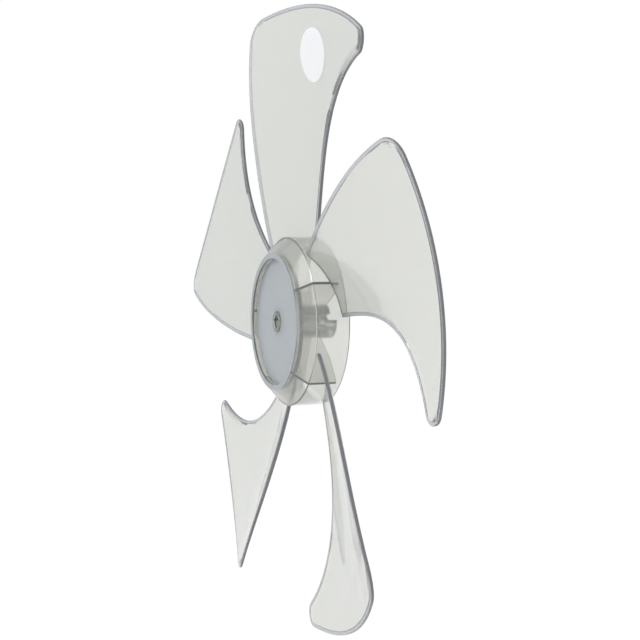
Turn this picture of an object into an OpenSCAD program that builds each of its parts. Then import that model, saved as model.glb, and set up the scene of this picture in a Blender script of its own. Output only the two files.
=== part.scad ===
// Five-blade fan impeller, moulded in one piece: hub cup, shaft boss, ribs and blades.
// The spin axis is Y and the closed front of the hub faces -Y. The origin is where the
// round wall of the shaft bore begins, at the floor of the cross pin slot. Modules draw
// the part face up, with the spin axis along Z and the boss's end at height 0, and
// stand() turns it upright.

/* [Hub] */
// Diameter of the hub at its widest, where the cone meets the skirt
hub_d = 105; // [100:0.5:110]
// Depth of the skirt behind the cone
skirt_h = 21; // [20:0.5:24]
// Depth of the cone between the skirt and the front ring
cone_h = 9; // [7:0.5:11]
// Outer diameter of the front ring
face_d = 85; // [80:0.5:88]
// Width of the front ring
ring_w = 3.5; // [3:0.1:4.5]
// Depth of the round recess inside the front ring
recess_h = 3.4; // [2.5:0.1:4]
// Wall thickness of the hub
wall = 2; // [1.6:0.1:2.4]
// Chamfer on the edges of the front ring
ring_chamfer = 0.5; // [0.3:0.1:0.8]

/* [Shaft boss] */
// Diameter of the shaft bore
bore_d = 8; // [7.5:0.1:8.5]
// Chamfer at the front end of the shaft bore
bore_chamfer = 0.5; // [0.3:0.1:0.8]
// Outer diameter of the boss round the shaft
boss_d = 22; // [20:0.5:24]
// How far the boss stands out behind the skirt
boss_out = 6; // [4:0.5:8]
// Diameter of the low collar round the bore at the front
collar_d = 13; // [12:0.5:15]
// Height of the front collar
collar_h = 1; // [0.6:0.1:1.4]
// Width of the slot for the shaft's cross pin
pin_slot_w = 4; // [3:0.1:5]
// Depth of the cross pin slot
pin_slot_h = 5; // [4:0.1:6]
// Angle of the cross pin slot
pin_slot_angle = 16; // [0:1:30]
// Height of the step between the lead-in quarters and the driving shoulders
shoulder_step = 2.5; // [1.5:0.1:3.5]

/* [Ribs] */
// Thickness of each rib
rib_t = 1.6; // [1.2:0.1:2]
// How far the ribs end short of the rear rim of the skirt
rib_short = 3; // [2:0.5:5]
// Angle of the first rib
rib_angle = 29; // [20:1:40]

/* [Blades] */
// Number of blades, each backed by a rib
blade_count = 5; // [3:1:5]
// Radius of the tip at the trailing edge
tip_r_trailing = 195; // [185:1:205]
// Radius of the tip at the leading edge
tip_r_leading = 188; // [180:1:198]
// Thickness of the blade at its root
root_t = 2.4; // [2:0.1:2.8]
// Thickness of the blade at its tip
tip_t = 2; // [1.6:0.1:2.4]
// Width of the bevel along the edges of the blade
edge_bevel = 2.3; // [1.5:0.1:3]
// Share of the blade's thickness that is left at its edges
edge_share = 0.5; // [0.4:0.05:0.9]
// Radius of the corner between the tip and the leading edge
leading_corner_r = 7; // [5:0.5:10]
// Radius of the corner between the tip and the trailing edge
trailing_corner_r = 20; // [14:0.5:24]

/* [Leading edge] */
// Angle of the leading edge at the hub
lead_angle = 5.5; // [3:0.5:8]
// How far the leading edge sweeps forward at the tip, in degrees
lead_hook = 23.5; // [18:0.5:26]
// How late along the span the sweep sets in
lead_hook_power = 2.7; // [2:0.1:3.5]
// Distance of the leading edge behind the front of the skirt at the hub
lead_back = 17; // [16:0.5:18]
// How far the leading edge comes forward at the tip
lead_rise = 8; // [5:0.5:11]

/* [Trailing edge] */
// Angle of the trailing edge at the hub
trail_angle = 54; // [50:0.5:56]
// Even sweep of the trailing edge over the span, in degrees
trail_sweep = 15.5; // [12:0.5:18]
// Further sweep of the trailing edge close to the hub, in degrees
trail_flare = 7.5; // [5:0.5:10]
// Distance of the trailing edge behind the front of the skirt at the hub
trail_back = 2; // [2:0.5:4]
// How far the trailing edge comes forward over the span
trail_rise = 16; // [12:0.5:18]
// How far the trailing edge turns back again at the tip
trail_return = 7.5; // [5:0.5:10]
// How late along the span the trailing edge turns back, and how close to the hub it flares
trail_power = 4; // [3:0.5:5]

/* [Camber] */
// Bow of the blade's section at the hub
root_camber = 2.1; // [1:0.1:3]
// Bow of the blade's section at the tip
tip_camber = 6.6; // [4:0.1:9]

/* [Sticker] */
// Length of the oval sticker along the blade
sticker_l = 32; // [24:1:40]
// Width of the oval sticker across the blade
sticker_w = 30; // [20:1:36]
// Thickness of the sticker
sticker_t = 0.2; // [0.1:0.05:0.3]
// Height of the glue under the sticker
sticker_gap = 0.1; // [0.05:0.01:0.2]
// Place of the sticker along the span, from 0 at the hub to 1 at the tip
sticker_span = 0.8; // [0.7:0.01:0.85]
// Place of the sticker across the chord, from 0 at the trailing edge to 1 at the leading edge
sticker_chord = 0.6; // [0.4:0.01:0.65]

/* [Hidden] */
$fn = 96;
plastic = [0.80, 0.82, 0.81, 0.75];
paper = [0.94, 0.94, 0.96];

hub_r = hub_d/2;
face_r = face_d/2;
boss_r = boss_d/2;
bore_r = bore_d/2;
recess_r = face_r - ring_w;
rim_z = boss_out;
seam_z = rim_z + skirt_h;
front_z = seam_z + cone_h;
disc_z = front_z - recess_h;
overlap = wall/2;
cut = 1;
pitch_angle = 360/blade_count;

// Inner face of the cone: its outer face moved inward by the wall
cone_run = hub_r - face_r;
cone_slope = cone_run/cone_h;
cone_inset = wall*norm([cone_h, cone_run])/cone_h;
function cone_inner_z(r) = seam_z + (hub_r - cone_inset - r)/cone_slope;

// The grid of one blade: stations over the span and over the chord
span_steps = 16;
corner_steps = 6;
chord_steps = 12;
corner_depth = 14;
span = tip_r_trailing - hub_r;
root_sink = 0.6*wall;
root_v = -root_sink/span;
corner_v = 1 - corner_depth/span;
spans = concat(
    [for (j = [0:span_steps - 1]) root_v + (corner_v - root_v)*j/span_steps],
    [for (j = [0:corner_steps]) corner_v + (1 - corner_v)*sin(90*j/corner_steps)]);
rows = len(spans);
columns = chord_steps + 3;

// Leading and trailing edges: angle round the axis, and height, at span fraction v
function lead_a(v) = lead_angle - lead_hook*pow(max(v, 0), lead_hook_power);
function trail_a(v) = trail_angle - trail_sweep*v - trail_flare*(1 - pow(1 - v, trail_power));
function lead_z(v) = seam_z - lead_back + lead_rise*v*v;
function trail_z(v) = seam_z - trail_back + trail_rise*v - trail_return*pow(max(v, 0), trail_power);
function camber(v) = root_camber + (tip_camber - root_camber)*v;
function thickness(v) = root_t + (tip_t - root_t)*v;
function tip_r(s) = tip_r_trailing + (tip_r_leading - tip_r_trailing)*s;
function span_r(s, v) = hub_r + (tip_r(s) - hub_r)*v;

// Middle surface of the blade at chord fraction s from the trailing edge
function sheet(s, v) =
    let (a = trail_a(v) + (lead_a(v) - trail_a(v))*s, r = span_r(s, v))
    [r*cos(a), r*sin(a), trail_z(v) + (lead_z(v) - trail_z(v))*s - camber(v)*4*s*(1 - s)];

// Unit normal of the middle surface, towards the front
function unit(p) = p/norm(p);
nudge = 0.001;
function normal(s, v) = unit(cross(
    sheet(s, v + nudge) - sheet(s, v - nudge),
    sheet(s - nudge, v) - sheet(s + nudge, v)));

// Corner between the tip and an edge that falls back by slope for each unit of depth:
// how far the rounded corner lies inside the sharp one, at depth b below the tip
function corner_inset(b, r, slope) =
    let (corner = atan2(1, slope))
    b >= r*(1 + cos(corner)) ? 0
    : r/tan(corner/2) - sqrt(max(0, r*r - pow(b - r, 2))) - b*slope;
lead_slope = lead_hook*lead_hook_power*PI/180*tip_r_leading/(tip_r_leading - hub_r);
trail_slope = -trail_sweep*PI/180*tip_r_trailing/span;
function chord_angle(v) = trail_a(v) - lead_a(v);
function trail_start(v) = corner_inset((1 - v)*span, trailing_corner_r, trail_slope)
    /tip_r_trailing*180/PI/chord_angle(v);
function lead_end(v) = 1 - corner_inset((1 - v)*(tip_r_leading - hub_r), leading_corner_r, lead_slope)
    /tip_r_leading*180/PI/chord_angle(v);

// Chord stations of a row: even steps, with a narrow bevel at both ends
function chord_station(i, v) =
    let (s0 = trail_start(v), s1 = lead_end(v),
        bevel = edge_bevel/(span_r(0.5, v)*PI/180*chord_angle(v)*(s1 - s0)),
        f = i == 0 ? 0
            : i == columns - 1 ? 1
            : bevel + (1 - 2*bevel)*(i - 1)/chord_steps)
    s0 + (s1 - s0)*f;
function edge_depth(i, j) = i == 0 || i == columns - 1 ? 0 : (1 - spans[j])*span;
function half_t(i, j) = thickness(spans[j])/2
    *(edge_share + (1 - edge_share)*min(1, edge_depth(i, j)/edge_bevel));

// One face of the blade: side is 1 for the front face and -1 for the rear face
function blade_face(side) = [
    for (j = [0:rows - 1], i = [0:columns - 1])
        let (v = spans[j], s = chord_station(i, v))
        sheet(s, v) + side*half_t(i, j)*normal(s, v)];

// Triangles over a grid, and the closed strip that joins two such grids
function at(i, j, base, width) = base + j*width + i;
function grid_tris(width, height, base, turn) = [
    for (j = [0:height - 2], i = [0:width - 2])
        let (a = at(i, j, base, width), b = at(i + 1, j, base, width),
            c = at(i + 1, j + 1, base, width), d = at(i, j + 1, base, width))
        each turn ? [[a, b, c], [a, c, d]] : [[a, c, b], [a, d, c]]];
function border(width, height) = concat(
    [for (i = [0:width - 1]) at(i, 0, 0, width)],
    [for (j = [1:height - 1]) at(width - 1, j, 0, width)],
    [for (i = [width - 2:-1:0]) at(i, height - 1, 0, width)],
    [for (j = [height - 2:-1:1]) at(0, j, 0, width)]);
function border_tris(width, height) =
    let (loop = border(width, height), n = len(loop), other = width*height)
    [for (k = [0:n - 1])
        let (a = loop[k], b = loop[(k + 1)%n])
        each [[a, a + other, b + other], [a, b + other, b]]];

module sheet_solid(front, rear, width, height) {
    polyhedron(concat(rear, front),
        concat(grid_tris(width, height, 0, true),
            grid_tris(width, height, width*height, false),
            border_tris(width, height)),
        convexity = 6);
}

module blade() {
    sheet_solid(blade_face(1), blade_face(-1), columns, rows);
}

module stand() {
    rotate([90, 0, 0]) translate([0, 0, -pin_slot_h]) children();
}

module round_array() {
    for (k = [0:blade_count - 1]) rotate(k*pitch_angle) children();
}

// Hub cup: front disc in its recess, ring, cone and skirt, open at the rear
module hub_shell() {
    rotate_extrude() polygon([
        [0, disc_z - wall],
        [recess_r + wall, disc_z - wall],
        [recess_r + wall, cone_inner_z(recess_r + wall)],
        [hub_r - wall, cone_inner_z(hub_r - wall)],
        [hub_r - wall, rim_z],
        [hub_r, rim_z],
        [hub_r, seam_z],
        [face_r, front_z - ring_chamfer/2],
        [face_r - ring_chamfer, front_z],
        [recess_r + ring_chamfer, front_z],
        [recess_r, front_z - ring_chamfer],
        [recess_r, disc_z],
        [0, disc_z]]);
}

// Boss with lead-in quarters and driving shoulders for the shaft's cross pin
module boss() {
    difference() {
        union() {
            cylinder(h = disc_z - overlap, r = boss_r);
            translate([0, 0, disc_z - overlap]) cylinder(h = overlap + collar_h, d = collar_d);
        }
        rotate(pin_slot_angle) {
            translate([-boss_d, -pin_slot_w/2, -cut]) cube([2*boss_d, pin_slot_w, pin_slot_h + cut]);
            for (turn = [0, 180])
                rotate(turn) translate([0, 0, -cut]) cube([boss_d, boss_d, shoulder_step + cut]);
        }
    }
}

// One rib from the boss to the inside of the cone and skirt
module rib() {
    rotate([90, 0, 0]) translate([0, 0, -rib_t/2]) linear_extrude(rib_t) polygon([
        [boss_r - overlap, rim_z + rib_short],
        [hub_r - overlap, rim_z + rib_short],
        [hub_r - overlap, seam_z],
        [face_r, cone_inner_z(recess_r + wall)],
        [recess_r + overlap, cone_inner_z(recess_r + wall)],
        [recess_r + overlap, disc_z - overlap],
        [boss_r - overlap, disc_z - overlap]]);
}

module shaft_bore() {
    collar_z = disc_z + collar_h;
    translate([0, 0, -cut]) cylinder(h = collar_z + 2*cut, r = bore_r);
    translate([0, 0, collar_z - bore_chamfer])
        cylinder(h = bore_chamfer, r1 = bore_r, r2 = bore_r + bore_chamfer);
}

module impeller() {
    color(plastic) stand() union() {
        difference() {
            union() {
                hub_shell();
                boss();
                rotate(rib_angle) round_array() rib();
            }
            shaft_bore();
        }
        round_array() blade();
    }
}

// Oval sticker that follows the front face of the top blade
sticker_steps = 8;
sticker_a = trail_a(sticker_span) - sticker_chord*chord_angle(sticker_span);
function sticker_point(i, j, height) =
    let (x = 2*i/sticker_steps - 1, y = 2*j/sticker_steps - 1,
        round_off = max(abs(x), abs(y))/max(norm([x, y]), nudge),
        v = sticker_span + sticker_l/2*y*round_off/span,
        a = sticker_a - sticker_w/2*x*round_off/span_r(sticker_chord, v)*180/PI,
        s = (trail_a(v) - a)/chord_angle(v))
    sheet(s, v) + (thickness(v)/2 + height)*normal(s, v);
function sticker_face(height) = [
    for (j = [0:sticker_steps], i = [0:sticker_steps]) sticker_point(i, j, height)];

module oval_sticker() {
    color(paper) stand() rotate(pitch_angle)
        sheet_solid(sticker_face(sticker_gap + sticker_t), sticker_face(sticker_gap),
            sticker_steps + 1, sticker_steps + 1);
}

impeller();
oval_sticker();
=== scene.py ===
import math

import bmesh
import bpy
import numpy as np
from mathutils import Matrix, Vector


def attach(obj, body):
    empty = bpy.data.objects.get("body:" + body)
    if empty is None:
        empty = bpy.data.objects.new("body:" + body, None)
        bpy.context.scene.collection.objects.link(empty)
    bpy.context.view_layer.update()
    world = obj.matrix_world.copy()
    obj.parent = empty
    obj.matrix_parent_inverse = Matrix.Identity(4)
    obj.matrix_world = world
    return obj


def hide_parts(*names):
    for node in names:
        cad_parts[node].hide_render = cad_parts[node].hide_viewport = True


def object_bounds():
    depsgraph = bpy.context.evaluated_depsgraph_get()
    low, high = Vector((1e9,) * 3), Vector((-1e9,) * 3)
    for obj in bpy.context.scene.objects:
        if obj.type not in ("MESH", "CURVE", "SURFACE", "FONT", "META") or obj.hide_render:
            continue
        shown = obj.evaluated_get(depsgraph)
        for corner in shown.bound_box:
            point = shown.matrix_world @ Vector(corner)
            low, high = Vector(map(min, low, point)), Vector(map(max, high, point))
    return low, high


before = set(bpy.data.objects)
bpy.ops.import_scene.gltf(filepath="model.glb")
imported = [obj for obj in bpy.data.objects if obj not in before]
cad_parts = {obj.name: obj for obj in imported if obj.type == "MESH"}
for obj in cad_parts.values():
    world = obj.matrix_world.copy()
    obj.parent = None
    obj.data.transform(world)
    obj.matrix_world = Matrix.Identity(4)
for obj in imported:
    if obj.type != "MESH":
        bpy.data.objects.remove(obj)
cad_low, cad_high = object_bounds()

# Sizes in millimetres, in the drawing frame: spin axis Z, front up, boss end at height 0.
HUB_R, FACE_R, RING_W, RECESS_H, WALL = 52.5, 42.5, 3.5, 3.4, 2.0
RIM_Z, SEAM_Z, FRONT_Z = 6.0, 27.0, 36.0
DISC_Z = FRONT_Z - RECESS_H
RECESS_R = FACE_R - RING_W
BORE_R, BOSS_R, COLLAR_R, COLLAR_H = 4.0, 11.0, 6.5, 1.0
PIN_W, PIN_H, PIN_ANGLE, SHOULDER = 4.0, 5.0, 16.0, 2.5
RIB_T, RIB_SHORT, RIB_ANGLE = 1.6, 3.0, 29.0
BLADES, PITCH = 5, 72.0
TIP_TRAIL, TIP_LEAD = 195.0, 188.0
ROOT_T, TIP_T = 2.4, 2.0
LEAD_CORNER, TRAIL_CORNER = 7.0, 20.0
SPAN = TIP_TRAIL - HUB_R
# Angles of the two blade edges: at the root, and how they change over the span
LEAD_ANGLE, LEAD_HOOK, LEAD_HOOK_POWER = 5.5, 23.5, 2.7
TRAIL_ANGLE, TRAIL_SWEEP, TRAIL_FLARE, TRAIL_POWER = 54.0, 15.5, 7.5, 4
# Heights of the two blade edges from the hub's seam, and the depth of the camber
LEAD_BACK, LEAD_RISE = 17.0, 8.0
TRAIL_BACK, TRAIL_RISE, TRAIL_RETURN = 2.0, 16.0, 7.5
ROOT_CAMBER, TIP_CAMBER = 2.1, 6.6
STICKER_L, STICKER_W, STICKER_T, STICKER_GAP = 32.0, 30.0, 0.2, 0.02
STICKER_R, STICKER_ANGLE = 162.6, 9.35
OVERLAP = 1.0


def to_frame(p):
    """Drawing frame in millimetres to the row frame in metres."""
    p = np.asarray(p, float)
    return np.stack([p[..., 0], PIN_H - p[..., 2], p[..., 1]], -1) / 1000.0


def turned(p, degrees):
    """Points turned about the spin axis in the drawing frame."""
    a = math.radians(degrees)
    out = np.array(p, float)
    x, y = out[..., 0].copy(), out[..., 1].copy()
    out[..., 0] = x * math.cos(a) - y * math.sin(a)
    out[..., 1] = x * math.sin(a) + y * math.cos(a)
    return out


def make(name, points, faces):
    """A mesh object from drawing-frame points, with its normals facing out."""
    mesh = bpy.data.meshes.new(name)
    mesh.from_pydata(to_frame(points).tolist(), [], [tuple(int(i) for i in f) for f in faces])
    bm = bmesh.new()
    bm.from_mesh(mesh)
    bmesh.ops.remove_doubles(bm, verts=bm.verts, dist=1e-7)
    bmesh.ops.recalc_face_normals(bm, faces=bm.faces)
    bm.to_mesh(mesh)
    bm.free()
    obj = bpy.data.objects.new(name, mesh)
    bpy.context.scene.collection.objects.link(obj)
    return obj


def combined(obj, others, operation):
    """obj with the others joined to it or cut from it, as one closed mesh."""
    for other in others:
        mod = obj.modifiers.new("combine", "BOOLEAN")
        mod.operation, mod.solver, mod.object = operation, "MANIFOLD", other
        other.hide_render = True
    done = bpy.data.meshes.new_from_object(
        obj.evaluated_get(bpy.context.evaluated_depsgraph_get()))
    obj.modifiers.clear()
    obj.data = done
    for other in others:
        bpy.data.objects.remove(other)
    return obj


def lead_a(v):
    """Angle of the leading edge at span fraction v, in degrees."""
    return LEAD_ANGLE - LEAD_HOOK * np.maximum(v, 0) ** LEAD_HOOK_POWER


def trail_a(v):
    """Angle of the trailing edge at span fraction v, in degrees."""
    return TRAIL_ANGLE - TRAIL_SWEEP * v - TRAIL_FLARE * (1 - (1 - v) ** TRAIL_POWER)


def lead_z(v):
    return SEAM_Z - LEAD_BACK + LEAD_RISE * v * v


def trail_z(v):
    return SEAM_Z - TRAIL_BACK + TRAIL_RISE * v - TRAIL_RETURN * np.maximum(v, 0) ** TRAIL_POWER


def camber(v):
    return ROOT_CAMBER + (TIP_CAMBER - ROOT_CAMBER) * v


def thickness(v):
    return ROOT_T + (TIP_T - ROOT_T) * np.clip(v, 0, 1)


def chord_angle(v):
    return trail_a(v) - lead_a(v)


def sheet(s, v):
    """Middle surface of a blade at chord fraction s and span fraction v."""
    a = np.radians(trail_a(v) + (lead_a(v) - trail_a(v)) * s)
    tip = TIP_TRAIL + (TIP_LEAD - TIP_TRAIL) * s
    r = HUB_R + (tip - HUB_R) * v
    z = trail_z(v) + (lead_z(v) - trail_z(v)) * s - camber(v) * 4 * s * (1 - s)
    return np.stack([r * np.cos(a), r * np.sin(a), z], -1)


def sheet_normal(s, v):
    """Unit normal of the middle surface, towards the front."""
    e = 1e-4
    n = np.cross(sheet(s, v + e) - sheet(s, v - e), sheet(s - e, v) - sheet(s + e, v))
    return n / np.linalg.norm(n, axis=-1, keepdims=True)


def corner_inset(b, r, slope):
    """How far a tip corner of radius r moves the edge in, at distance b from the tip."""
    corner = math.atan2(1, slope)
    arc = r / math.tan(corner / 2) - np.sqrt(np.maximum(0, r * r - (b - r) ** 2)) - b * slope
    return np.where(b >= r * (1 + math.cos(corner)), 0.0, arc)


LEAD_SLOPE = math.radians(LEAD_HOOK * LEAD_HOOK_POWER) * TIP_LEAD / (TIP_LEAD - HUB_R)
TRAIL_SLOPE = -math.radians(TRAIL_SWEEP) * TIP_TRAIL / SPAN


def chord_start(v):
    """Chord fraction at which the blade begins, at its trailing edge."""
    inset = corner_inset((1 - v) * SPAN, TRAIL_CORNER, TRAIL_SLOPE)
    return np.degrees(inset / TIP_TRAIL) / chord_angle(v)


def chord_end(v):
    """Chord fraction at which the blade ends, at its leading edge."""
    inset = corner_inset((1 - v) * (TIP_LEAD - HUB_R), LEAD_CORNER, LEAD_SLOPE)
    return 1 - np.degrees(inset / TIP_LEAD) / chord_angle(v)


# Distances from the blade's outline, in mm, at which its section has a station
RIM = [0.0, 0.05, 0.16, 0.32, 0.5, 1.2, 1.9, 2.1, 2.3, 2.6]
RIM_W, RIM_STEP, EDGE_R = 2.2, 0.22, 0.5
EDGE_DROP, STEP_RUN = 0.45, 0.3
TIP_ZONE = 24.0
ROOT_SINK = 1.2


def section(d, t):
    """Half thickness at distance d from the outline: rounded corner, low rim, then the full sheet."""
    edge = np.sqrt(np.clip(1 - (1 - np.clip(d / EDGE_R, 0, 1)) ** 2, 0, 1))
    step = np.clip((d - (RIM_W - STEP_RUN / 2)) / STEP_RUN, 0, 1)
    step = step * step * (3 - 2 * step)
    full = t / 2
    low = full - RIM_STEP
    return (low - EDGE_DROP) + EDGE_DROP * edge + (full - low) * step


def blade_stations():
    """Span fractions of the sections, from inside the hub's wall to the tip."""
    inner = np.linspace(-ROOT_SINK / SPAN, 1 - TIP_ZONE / SPAN, 44)
    depth = TIP_ZONE * (1 - np.sin(np.radians(np.linspace(0, 90, 30)[1:-1])))
    depth = np.concatenate([depth, RIM])
    depth = np.unique(np.round(depth, 4))[::-1]
    return np.concatenate([inner, 1 - depth / SPAN])


blade_outline = []


def blade_mesh(angle):
    """One blade, turned about the spin axis; its outline is kept to find the rim band, which gets a
    painted light tint.
    """
    vs = blade_stations()
    grid_s = []
    for v in vs:
        s0, s1 = float(chord_start(v)), float(chord_end(v))
        r = HUB_R + ((TIP_TRAIL + TIP_LEAD + 1) / 2 - HUB_R) * v
        chord = r * math.radians(chord_angle(v)) * (s1 - s0)
        edge = np.array(RIM) / chord
        even = np.linspace(edge[-1], 1 - edge[-1], 34)[1:-1]
        f = np.concatenate([edge, even, 1 - edge[::-1]])
        grid_s.append(s0 + (s1 - s0) * f)
    S = np.array(grid_s)
    V = np.repeat(vs[:, None], S.shape[1], 1)
    mid, nor = sheet(S, V), sheet_normal(S, V)
    rows, cols = S.shape
    outline = np.concatenate([mid[:, 0], mid[-1, 1:], mid[::-1, -1][1:]])
    blade_outline[:] = outline.tolist()
    a, b = outline[:-1], outline[1:]
    ab = b - a
    length2 = np.maximum((ab ** 2).sum(-1), 1e-12)
    P = mid.reshape(-1, 3)
    t = np.clip(((P[:, None] - a[None]) * ab[None]).sum(-1) / length2, 0, 1)
    d = np.linalg.norm(P[:, None] - (a[None] + t[..., None] * ab[None]), axis=-1).min(1)
    d = d.reshape(rows, cols)
    half = section(d, thickness(V))[..., None]
    front, rear = mid + nor * half, mid - nor * half
    pts = np.concatenate([front.reshape(-1, 3), rear.reshape(-1, 3)])
    n = rows * cols
    faces = []
    for j in range(rows - 1):
        for i in range(cols - 1):
            q = [j * cols + i, j * cols + i + 1, (j + 1) * cols + i + 1, (j + 1) * cols + i]
            faces.append(q)
            faces.append([n + k for k in reversed(q)])
    loop = list(range(cols))
    loop += [j * cols + cols - 1 for j in range(1, rows)]
    loop += [(rows - 1) * cols + i for i in range(cols - 2, -1, -1)]
    loop += [j * cols for j in range(rows - 2, 0, -1)]
    for k, p in enumerate(loop):
        q = loop[(k + 1) % len(loop)]
        faces.append([q, p, n + p, n + q])
    return make("blade", turned(pts, angle), faces)


def filleted(points, radii, steps=5):
    """Closed outline with its corners rounded."""
    out = []
    n = len(points)
    for k in range(n):
        p, q, r = (np.array(points[(k + m) % n], float) for m in (-1, 0, 1))
        radius = radii[k]
        if radius <= 0:
            out.append(q)
            continue
        u, w = (p - q) / np.linalg.norm(p - q), (r - q) / np.linalg.norm(r - q)
        half = math.acos(max(-1, min(1, float(u @ w)))) / 2
        reach = radius / math.tan(half)
        centre = q + (u + w) / np.linalg.norm(u + w) * radius / math.sin(half)
        a0 = math.atan2(*(q + u * reach - centre)[::-1])
        a1 = math.atan2(*(q + w * reach - centre)[::-1])
        turn = (a1 - a0 + math.pi) % (2 * math.pi) - math.pi
        for m in range(steps + 1):
            a = a0 + turn * m / steps
            out.append(centre + radius * np.array([math.cos(a), math.sin(a)]))
    return out


def revolved(name, profile, segments):
    """Solid of revolution from a closed outline of (radius, height) that may touch the axis."""
    pts, faces, ring = [], [], []
    for r, z in profile:
        if r < 1e-6:
            ring.append([len(pts)] * segments)
            pts.append([0, 0, z])
        else:
            base = len(pts)
            ring.append([base + k for k in range(segments)])
            for k in range(segments):
                a = 2 * math.pi * k / segments
                pts.append([r * math.cos(a), r * math.sin(a), z])
    n = len(profile)
    for i in range(n):
        a, b = ring[i], ring[(i + 1) % n]
        if a[0] == a[1] and b[0] == b[1]:
            continue
        for k in range(segments):
            m = (k + 1) % segments
            f = []
            for q in (a[k], b[k], b[m], a[m]):
                if q not in f:
                    f.append(q)
            faces.append(f)
    return make(name, np.array(pts), faces)


def box(name, low, high, angle):
    """A box between two corners, turned about the spin axis."""
    x0, y0, z0 = low
    x1, y1, z1 = high
    pts = [[x, y, z] for z in (z0, z1) for y in (y0, y1) for x in (x0, x1)]
    faces = [[0, 2, 3, 1], [4, 5, 7, 6], [0, 1, 5, 4], [2, 6, 7, 3], [0, 4, 6, 2], [1, 3, 7, 5]]
    return make(name, turned(pts, angle), faces)


def prism(name, outline, half, angle):
    """A plate of thickness 2 half that stands in a plane through the spin axis."""
    n = len(outline)
    pts = [[r, y, z] for y in (-half, half) for r, z in outline]
    faces = [list(range(n)), list(range(2 * n - 1, n - 1, -1))]
    faces += [[k, n + k, n + (k + 1) % n, (k + 1) % n] for k in range(n)]
    return make(name, turned(pts, angle), faces)


CONE_SLOPE = (HUB_R - FACE_R) / (FRONT_Z - SEAM_Z)
CONE_INSET = WALL * math.hypot(FRONT_Z - SEAM_Z, HUB_R - FACE_R) / (FRONT_Z - SEAM_Z)


def cone_z(r):
    """Height of the cone's inner face at radius r."""
    return SEAM_Z + (HUB_R - CONE_INSET - r) / CONE_SLOPE


shell = revolved("hub", filleted([
    (0, DISC_Z - WALL), (RECESS_R + WALL, DISC_Z - WALL),
    (RECESS_R + WALL, cone_z(RECESS_R + WALL)), (HUB_R - WALL, cone_z(HUB_R - WALL)),
    (HUB_R - WALL, RIM_Z), (HUB_R, RIM_Z), (HUB_R, SEAM_Z), (FACE_R, FRONT_Z),
    (RECESS_R, FRONT_Z), (RECESS_R, DISC_Z), (0, DISC_Z)],
    [0, 0.3, 0.3, 0.3, 0.35, 0.35, 0.15, 0.5, 0.45, 0.3, 0]), 240)
boss = revolved("boss", filleted([
    (0, 0), (BOSS_R, 0), (BOSS_R, DISC_Z - OVERLAP), (COLLAR_R, DISC_Z - OVERLAP),
    (COLLAR_R, DISC_Z + COLLAR_H), (0, DISC_Z + COLLAR_H)],
    [0, 0.3, 0, 0, 0.3, 0]), 96)
cuts = [box("slot", (-20, -PIN_W / 2, -OVERLAP), (20, PIN_W / 2, PIN_H), PIN_ANGLE)]
cuts += [box("lead", (0, 0, -OVERLAP), (20, 20, SHOULDER), PIN_ANGLE + a) for a in (0, 180)]
boss = combined(boss, cuts, "DIFFERENCE")
ribs = [prism("rib", [
    (BOSS_R - OVERLAP, RIM_Z + RIB_SHORT), (HUB_R - OVERLAP, RIM_Z + RIB_SHORT),
    (HUB_R - OVERLAP, SEAM_Z), (FACE_R, cone_z(RECESS_R + WALL)),
    (RECESS_R + OVERLAP, cone_z(RECESS_R + WALL)), (RECESS_R + OVERLAP, DISC_Z - OVERLAP),
    (BOSS_R - OVERLAP, DISC_Z - OVERLAP)], RIB_T / 2, RIB_ANGLE + PITCH * k)
    for k in range(BLADES)]
BORE_CHAMFER = 0.5
BORE_TOP = DISC_Z + COLLAR_H
bore = revolved("bore", [
    (0, -OVERLAP), (BORE_R, -OVERLAP), (BORE_R, BORE_TOP - BORE_CHAMFER),
    (BORE_R + 2 * BORE_CHAMFER, BORE_TOP + BORE_CHAMFER), (0, BORE_TOP + BORE_CHAMFER)], 96)
hub = combined(shell, [boss] + ribs, "UNION")
hub = combined(hub, [bore], "DIFFERENCE")
impeller = combined(hub, [blade_mesh(PITCH * k) for k in range(BLADES)], "UNION")
impeller.name = impeller.data.name = "impeller_moulding"
impeller.data.shade_smooth()
impeller.data.set_sharp_from_angle(angle=math.radians(32))


def sticker_mesh():
    """The oval film: edge, rounded rim and face, each point laid on the blade."""
    rings, around = 9, 72
    pts, faces = [], []
    layers = []
    for height, scale in ((STICKER_GAP, 1.0), (0.7 * STICKER_T, 1.0), (STICKER_T, 0.985)):
        layer = []
        for k in range(around):
            a = 2 * math.pi * k / around
            x, y = STICKER_L / 2 * math.cos(a), STICKER_W / 2 * math.sin(a)
            layer.append((scale * x, scale * y, height))
        layers.append(layer)
    for q in range(1, rings):
        f = 1 - q / rings
        layers.append([(x * f, y * f, STICKER_T) for x, y, _ in layers[2]])
    for layer in layers:
        for dr, dt, h in layer:
            r, a = STICKER_R + dr, STICKER_ANGLE + math.degrees(dt / STICKER_R)
            pts.append(on_blade(r, a, h))
    top = len(pts)
    pts.append(on_blade(STICKER_R, STICKER_ANGLE, STICKER_T))
    under = len(pts)
    pts.append(on_blade(STICKER_R, STICKER_ANGLE, STICKER_GAP))
    for level in range(len(layers) - 1):
        for k in range(around):
            m = (k + 1) % around
            a, b = level * around, (level + 1) * around
            faces.append([a + k, a + m, b + m, b + k])
    last = (len(layers) - 1) * around
    for k in range(around):
        m = (k + 1) % around
        faces.append([last + k, last + m, top])
        faces.append([m, k, under])
    return make("oval_sticker_film", turned(pts, PITCH), faces)


def on_blade(r, a, height):
    """Point above the front face at radius r and angle a of the first blade."""
    v = 0.5
    for _ in range(12):
        s = (trail_a(v) - a) / chord_angle(v)
        v = (r - HUB_R) / (TIP_TRAIL + (TIP_LEAD - TIP_TRAIL) * s - HUB_R)
    s, v = np.array(s), np.array(v)
    return sheet(s, v) + sheet_normal(s, v) * (thickness(v) / 2 + height)


sticker = sticker_mesh()
sticker.data.shade_smooth()
sticker.data.set_sharp_from_angle(angle=math.radians(40))


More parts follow.
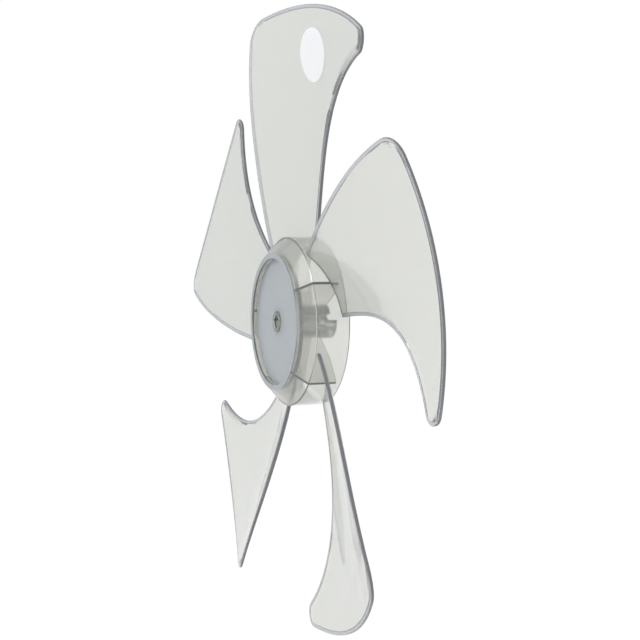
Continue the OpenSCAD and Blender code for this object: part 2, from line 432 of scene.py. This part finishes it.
def new_material(name):
    """A material with its nodes and links."""
    mat = bpy.data.materials.new(name)
    mat.use_nodes = True
    return mat, mat.node_tree.nodes, mat.node_tree.links


def either(nodes, links, kinds):
    """A socket that is 1 for rays of any of these kinds."""
    rays = nodes.new("ShaderNodeLightPath")
    out = rays.outputs[kinds[0]]
    for kind in kinds[1:]:
        larger = nodes.new("ShaderNodeMath")
        larger.operation = "MAXIMUM"
        links.new(out, larger.inputs[0])
        links.new(rays.outputs[kind], larger.inputs[1])
        out = larger.outputs[0]
    return out


def add_relief(nodes, links, shader, scale, height, rough_low, rough_high):
    """Fine unevenness: a bump and a roughness that wanders between two values."""
    place = nodes.new("ShaderNodeTexCoord")
    noise = nodes.new("ShaderNodeTexNoise")
    noise.inputs["Scale"].default_value = scale
    noise.inputs["Detail"].default_value = 4
    links.new(place.outputs["Object"], noise.inputs["Vector"])
    bump = nodes.new("ShaderNodeBump")
    bump.inputs["Strength"].default_value = 0.3
    bump.inputs["Distance"].default_value = height
    links.new(noise.outputs["Fac"], bump.inputs["Height"])
    links.new(bump.outputs["Normal"], shader.inputs["Normal"])
    wander = nodes.new("ShaderNodeMapRange")
    wander.inputs["From Min"].default_value = 0.3
    wander.inputs["From Max"].default_value = 0.7
    wander.inputs["To Min"].default_value = rough_low
    wander.inputs["To Max"].default_value = rough_high
    links.new(noise.outputs["Fac"], wander.inputs["Value"])
    links.new(wander.outputs["Result"], shader.inputs["Roughness"])


def plastic(name, weight, tint, scale, height, rough_low, rough_high):
    """Translucent grey plastic: a tint and a haze at the surface, and a tint that grows with depth."""
    mat, nodes, links = new_material(name)
    shader = nodes["Principled BSDF"]
    shader.inputs["Base Color"].default_value = (*tint, 1)
    shader.inputs["IOR"].default_value = 1.57
    shader.inputs["Transmission Weight"].default_value = weight
    add_relief(nodes, links, shader, scale, height, rough_low, rough_high)
    volume = nodes.new("ShaderNodeVolumeAbsorption")
    volume.inputs["Color"].default_value = DEPTH_TINT
    volume.inputs["Density"].default_value = DEPTH_DENSITY
    links.new(volume.outputs["Volume"], nodes["Material Output"].inputs["Volume"])
    impeller.data.materials.append(mat)


def rim_faces(mesh):
    """True for each face that lies on the low band along a blade's outline."""
    centres = np.empty(len(mesh.polygons) * 3)
    mesh.polygons.foreach_get("center", centres)
    centres = centres.reshape(-1, 3) * 1000
    centres = np.stack([centres[:, 0], centres[:, 2], PIN_H - centres[:, 1]], -1)
    near = np.full(len(centres), 1e9)
    for k in range(BLADES):
        outline = turned(blade_outline, PITCH * k)
        a, ab = outline[:-1], outline[1:] - outline[:-1]
        length2 = np.maximum((ab ** 2).sum(-1), 1e-12)
        for first in range(0, len(centres), 4000):
            part = centres[first:first + 4000]
            t = np.clip(((part[:, None] - a) * ab).sum(-1) / length2, 0, 1)
            d = np.linalg.norm(part[:, None] - (a + t[..., None] * ab), axis=-1).min(1)
            near[first:first + 4000] = np.minimum(near[first:first + 4000], d)
    return (near < RIM_W + 0.3) & (np.hypot(centres[:, 0], centres[:, 1]) > HUB_R + 0.5)


impeller.data.materials.clear()
DEPTH_TINT, DEPTH_DENSITY = (0.42, 0.46, 0.45, 1), 150
plastic("smoke_plastic", 0.88, (0.90, 0.895, 0.85), 90, 0.0001, 0.04, 0.1)
plastic("frosted_plastic", 0.6, (0.76, 0.79, 0.81), 900, 0.0002, 0.42, 0.55)
# Rim band: the same plastic with a greyer, bluish tint and less transmission, which is painted light
# standing in for the light the bevelled rim refracts; the low band itself is real shape, and its
# rougher surface is roughness.
plastic("rim_painted_light", 0.8, (0.70, 0.70, 0.73), 300, 0.0001, 0.15, 0.25)
painted_light_on_rim = rim_faces(impeller.data)
for face in impeller.data.polygons:
    y = PIN_H - face.center.y * 1000
    r = math.hypot(face.center.x, face.center.z) * 1000
    flat = abs(face.normal.y) > 0.95
    if flat and r < FACE_R and (abs(y - DISC_Z) < 0.1 or abs(y - FRONT_Z) < 0.1):
        face.material_index = 1
    # faces on the rim band take the rim material's painted light tint
    elif painted_light_on_rim[face.index]:
        face.material_index = 2

film, nodes, links = new_material("sticker_film")
shader = nodes["Principled BSDF"]
shader.inputs["Base Color"].default_value = (0.76, 0.745, 0.74, 1)
add_relief(nodes, links, shader, 2500, 0.00005, 0.35, 0.5)
sticker.data.materials.append(film)

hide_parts("impeller")
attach(impeller, "root")
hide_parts("oval_sticker")
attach(sticker, "root")

# Floor: pale paper, seen white by the camera and through the plastic
FLOOR_Z = cad_low.z - 0.0005
FLOOR_HALF = 30
mesh = bpy.data.meshes.new("floor")
corners = [(x * FLOOR_HALF, y * FLOOR_HALF, FLOOR_Z) for x, y in ((-1, -1), (1, -1), (1, 1), (-1, 1))]
mesh.from_pydata(corners, [], [(0, 1, 2, 3)])
floor = bpy.data.objects.new("floor", mesh)
bpy.context.scene.collection.objects.link(floor)
paper, nodes, links = new_material("floor_paper")
shader = nodes["Principled BSDF"]
shader.inputs["Base Color"].default_value = (0.95, 0.95, 0.95, 1)
shader.inputs["Roughness"].default_value = 0.9
white = nodes.new("ShaderNodeEmission")
white.inputs["Strength"].default_value = 1.02
seen_rays = either(nodes, links, ("Is Camera Ray", "Is Glossy Ray", "Is Transmission Ray"))
share = nodes.new("ShaderNodeMath")
share.operation = "MULTIPLY"
share.inputs[1].default_value = 0.94
links.new(seen_rays, share.inputs[0])
mix = nodes.new("ShaderNodeMixShader")
links.new(share.outputs[0], mix.inputs["Fac"])
links.new(shader.outputs[0], mix.inputs[1])
links.new(white.outputs[0], mix.inputs[2])
links.new(mix.outputs[0], nodes["Material Output"].inputs["Surface"])
mesh.materials.append(paper)

world = bpy.data.worlds.new("studio")
bpy.context.scene.world = world
world.use_nodes = True
nodes, links = world.node_tree.nodes, world.node_tree.links
nodes.clear()
seen_rays = either(nodes, links, ("Is Camera Ray", "Is Transmission Ray"))
ambient = nodes.new("ShaderNodeBackground")
ambient.inputs["Color"].default_value = (0.9, 0.95, 1, 1)
ambient.inputs["Strength"].default_value = 0.8
seen = nodes.new("ShaderNodeBackground")
seen.inputs["Color"].default_value = (1, 1, 1, 1)
seen.inputs["Strength"].default_value = 1.0
mix = nodes.new("ShaderNodeMixShader")
out = nodes.new("ShaderNodeOutputWorld")
links.new(seen_rays, mix.inputs["Fac"])
links.new(ambient.outputs[0], mix.inputs[1])
links.new(seen.outputs[0], mix.inputs[2])
links.new(mix.outputs[0], out.inputs["Surface"])


def area_light(name, place, size, power):
    """A square soft box aimed at the part, left out of mirror reflections."""
    data = bpy.data.lights.new(name, "AREA")
    data.size, data.energy = size, power
    obj = bpy.data.objects.new(name, data)
    obj.location = place
    obj.rotation_euler = (-Vector(place)).to_track_quat("-Z", "Y").to_euler()
    obj.visible_glossy = False
    bpy.context.scene.collection.objects.link(obj)


area_light("key", (-0.4, -1.6, 1.4), 1.2, 18)
area_light("fill", (1.6, -0.6, 0.7), 1.0, 6)
area_light("rear", (-0.7, 1.5, 0.9), 1.2, 9)

# Camera: azimuth and elevation in degrees, distance and offsets in metres, and image px per mm
AZ, EL, DIST, OX, OY, FD = 68.1066, 3.2649, 0.693178, -0.0213030, -0.00094214, 1.604650
az, el = math.radians(AZ), math.radians(EL)
back = Vector((math.sin(az) * math.cos(el), -math.cos(az) * math.cos(el), math.sin(el)))
right = Vector((math.cos(az), math.sin(az), 0))
up = back.cross(right)
data = bpy.data.cameras.new("camera")
camera = bpy.data.objects.new("camera", data)
bpy.context.scene.collection.objects.link(camera)
bpy.context.scene.camera = camera
data.sensor_width = 36
data.lens = FD * DIST * 1000 * 36 / 640
data.clip_start, data.clip_end = 0.01, 100
place = -OX * right - OY * up + DIST * back + Vector((0, (PIN_H - SEAM_Z) / 1000, 0))
turn = Matrix((right, up, back)).transposed().to_4x4()
camera.matrix_world = Matrix.Translation(place) @ turn

scene = bpy.context.scene
scene.view_settings.view_transform = "Standard"
